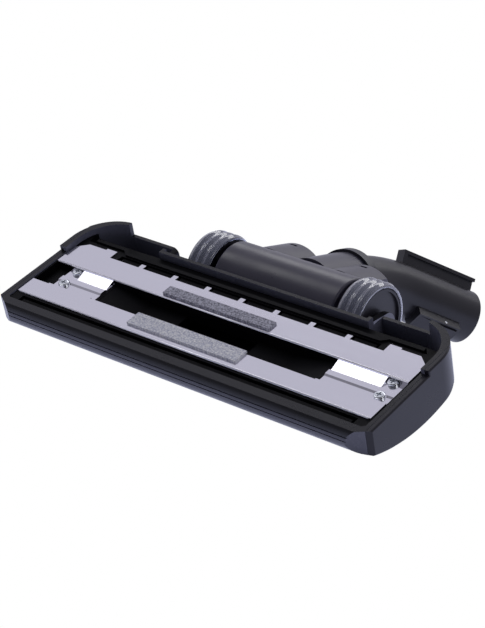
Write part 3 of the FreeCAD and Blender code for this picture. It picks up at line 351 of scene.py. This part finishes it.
roll_end = PLATE_HALF - ROLL_END_GAP
for name, edge in (("front_roll", 0.0), ("rear_roll", CHANNEL_END)):
    y = edge + ROLL_INSET
    roll(name, Vector((-roll_end, y, -ROLL_SINK)), Vector((roll_end, y, -ROLL_SINK)),
         ROLL_RADIUS)
bridge_middle = (FRONT_LAND + CHANNEL_END) / 2
bead_start = MOUTH_HALF + BEAD_START_GAP
bead_end = BRIDGE_END - BEAD_END_GAP
for side in (-1, 1):
    for step in (-0.5, 0.5):
        y = bridge_middle + step * BEAD_GAP
        roll(f"bead_{side}_{step}", Vector((side * bead_start, y, -CHANNEL_DEPTH)),
             Vector((side * bead_end, y, -CHANNEL_DEPTH)), BEAD_RADIUS)
flank("flank_left", -1, LEFT_FLANK_LENGTH)
flank("flank_right", 1, RIGHT_FLANK_LENGTH)
print("rolls of radius", ROLL_RADIUS, "and beads of radius", BEAD_RADIUS)

# %% [markdown]
# The clear wheel rings carry ribs round their treads. Each ring is a closed
# profile spun round the axle, inside the box of the node that it replaces. Its
# inner wall lies a little way inside the disc's rim.

# %% Ribbed wheel rings
TREAD_RIBS = 3
RIB_DEPTH = 0.0011
RING_WALL = 0.0036
WAVE_STEPS = 36
RING_STEPS = 72
SAME_POINT = 1e-6


def tread_profile(start, width, radius):
    points = []
    for step in range(WAVE_STEPS + 1):
        part = step / WAVE_STEPS
        wave = 0.5 - 0.5 * math.cos(2 * math.pi * TREAD_RIBS * part)
        points.append((start + part * width, radius - RIB_DEPTH * (1 - wave)))
    points.append((start + width, radius - RING_WALL))
    points.append((start, radius - RING_WALL))
    return points


def ribbed_ring(side):
    low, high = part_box(f"wheel_ring_{side}")
    axle_y = (low[1] + high[1]) / 2
    axle_z = (low[2] + high[2]) / 2
    radius = (high[1] - low[1]) / 2
    grid = bmesh.new()
    corners = [grid.verts.new((x, axle_y + reach, axle_z))
               for x, reach in tread_profile(low[0], high[0] - low[0], radius)]
    edges = [grid.edges.new((a, b)) for a, b in zip(corners, corners[1:] + corners[:1])]
    bmesh.ops.spin(grid, geom=corners + edges, cent=(0, axle_y, axle_z), axis=(1, 0, 0),
                   angle=2 * math.pi, steps=RING_STEPS, use_merge=True)
    bmesh.ops.remove_doubles(grid, verts=grid.verts, dist=SAME_POINT)
    bmesh.ops.recalc_face_normals(grid, faces=grid.faces)
    for face in grid.faces:
        face.smooth = True
    ring = placed(grid, f"ring_{side}", "clear")
    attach(ring, f"wheel_{side}")
    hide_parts(f"wheel_ring_{side}")
    return ring


for side in ("left", "right"):
    print(side, "ring faces:", len(ribbed_ring(side).data.polygons))

# %% [markdown]
# The studio is a pale floor under a dim sky. The floor is plain white to the
# camera and through clear pieces, so the background stays white, and a bluish
# white to reflections, which tints the black plastics. The sky is brighter
# behind the head than on the camera's side.

# %% Floor and sky
FLOOR_SIZE = 8.0
FLOOR_COLOR = (0.9, 0.9, 0.9)
FLOOR_ROUGHNESS = 0.9
FLOOR_SEEN = (1.0, 1.0, 1.0)
FLOOR_MIRRORED = (0.72, 0.75, 1.0)
SKY_COLOR = (0.87, 0.86, 1.0)
CAMERA_SIDE = Vector((0.45, -0.85, 0.30)).normalized()
SKY_TURN = (-0.2, 0.8)
SKY_STRENGTH = (0.62, 0.10)
scene = bpy.context.scene


def larger(tree, first, second):
    either = tree.nodes.new("ShaderNodeMath")
    either.operation = "MAXIMUM"
    link(tree, first, either.inputs[0])
    link(tree, second, either.inputs[1])
    return either.outputs[0]


def floor_white():
    material, tree, shader = nodes_of("floor_white")
    shader.inputs["Base Color"].default_value = (*FLOOR_COLOR, 1)
    shader.inputs["Roughness"].default_value = FLOOR_ROUGHNESS
    path = tree.nodes.new("ShaderNodeLightPath")
    glossy = path.outputs["Is Glossy Ray"]
    direct = larger(tree, path.outputs["Is Camera Ray"], path.outputs["Is Transmission Ray"])
    glow = tree.nodes.new("ShaderNodeEmission")
    link(tree, mixed(tree, glossy, FLOOR_SEEN, FLOOR_MIRRORED), glow.inputs["Color"])
    blend = tree.nodes.new("ShaderNodeMixShader")
    link(tree, larger(tree, direct, glossy), blend.inputs[0])
    link(tree, shader.outputs[0], blend.inputs[1])
    link(tree, glow.outputs[0], blend.inputs[2])
    link(tree, blend.outputs[0], tree.nodes["Material Output"].inputs["Surface"])
    return material


def dim_sky():
    world = bpy.data.worlds.new("studio")
    world.use_nodes = True
    tree = world.node_tree
    background = tree.nodes["Background"]
    background.inputs["Color"].default_value = (*SKY_COLOR, 1)
    place = tree.nodes.new("ShaderNodeTexCoord")
    towards = dot_with(tree, place.outputs["Generated"], CAMERA_SIDE)
    strength = ranged(tree, towards, SKY_TURN, SKY_STRENGTH)
    link(tree, strength, background.inputs["Strength"])
    return world


bpy.ops.mesh.primitive_plane_add(size=FLOOR_SIZE)
floor = bpy.context.object
floor.name = "floor"
floor.data.materials.append(floor_white())
scene.world = dim_sky()
print("floor", FLOOR_SIZE, "m wide, sky from", SKY_STRENGTH[1], "to", SKY_STRENGTH[0])

# %% [markdown]
# A long softbox overhead and behind lights the top of the head, and a small one
# fills from the right. A third, narrow one stands where the sloped flanks of
# the bridges mirror it towards the camera.


# %% Lamps
def softbox(name, place, size, power):
    lamp = bpy.data.lights.new(name, "AREA")
    lamp.shape = "RECTANGLE"
    lamp.size, lamp.size_y = size
    lamp.energy = power
    holder = bpy.data.objects.new(name, lamp)
    scene.collection.objects.link(holder)
    holder.location = place
    holder.rotation_euler = (-Vector(place)).to_track_quat("-Z", "Y").to_euler()
    return holder


lamps = [
    softbox("key", (-0.25, 0.95, 1.1), (1.6, 0.5), 5),
    softbox("fill", (1.3, -0.2, 0.8), (0.5, 0.5), 1.5),
    softbox("glint", turn @ Vector((-0.83, 0.21, 1.17)), (0.45, 0.4), 1.2),
]
print("lamps:", ", ".join(lamp.name for lamp in lamps))

# %% [markdown]
# The camera was solved from the sole plate's corners, its tabs and the round
# barrel, in the drawing frame. It is carried into the scene by the stance.

# %% Camera
AZIMUTH = math.radians(44.3)
HEIGHT = math.radians(34.6)
CAMERA_ROLL = math.radians(-10.0)
DISTANCE = 1.146
FOCAL_PIXELS = 2000.0
TARGET = Vector((0.0091, 0.0432, 0.0))
SENSOR = 36.0
PICTURE_WIDTH = 485
PICTURE_HEIGHT = 628
back = Vector((
    math.sin(AZIMUTH) * math.cos(HEIGHT), -math.cos(AZIMUTH) * math.cos(HEIGHT),
    math.sin(HEIGHT)))
level = Vector((math.cos(AZIMUTH), math.sin(AZIMUTH), 0))
upright = back.cross(level)
right = level * math.cos(CAMERA_ROLL) + upright * math.sin(CAMERA_ROLL)
up = upright * math.cos(CAMERA_ROLL) - level * math.sin(CAMERA_ROLL)
lens = bpy.data.cameras.new("camera")
camera = bpy.data.objects.new("camera", lens)
scene.collection.objects.link(camera)
axes = Matrix((right, up, back)).transposed().to_4x4()
camera.matrix_world = stance @ Matrix.Translation(TARGET + back * DISTANCE) @ axes
lens.sensor_width = SENSOR
lens.lens = FOCAL_PIXELS * SENSOR / PICTURE_HEIGHT
lens.clip_start = 0.05
scene.camera = camera
scene.render.resolution_x = PICTURE_WIDTH
scene.render.resolution_y = PICTURE_HEIGHT
scene.view_settings.view_transform = "Standard"
print("camera at", [round(v, 3) for v in camera.matrix_world.translation])
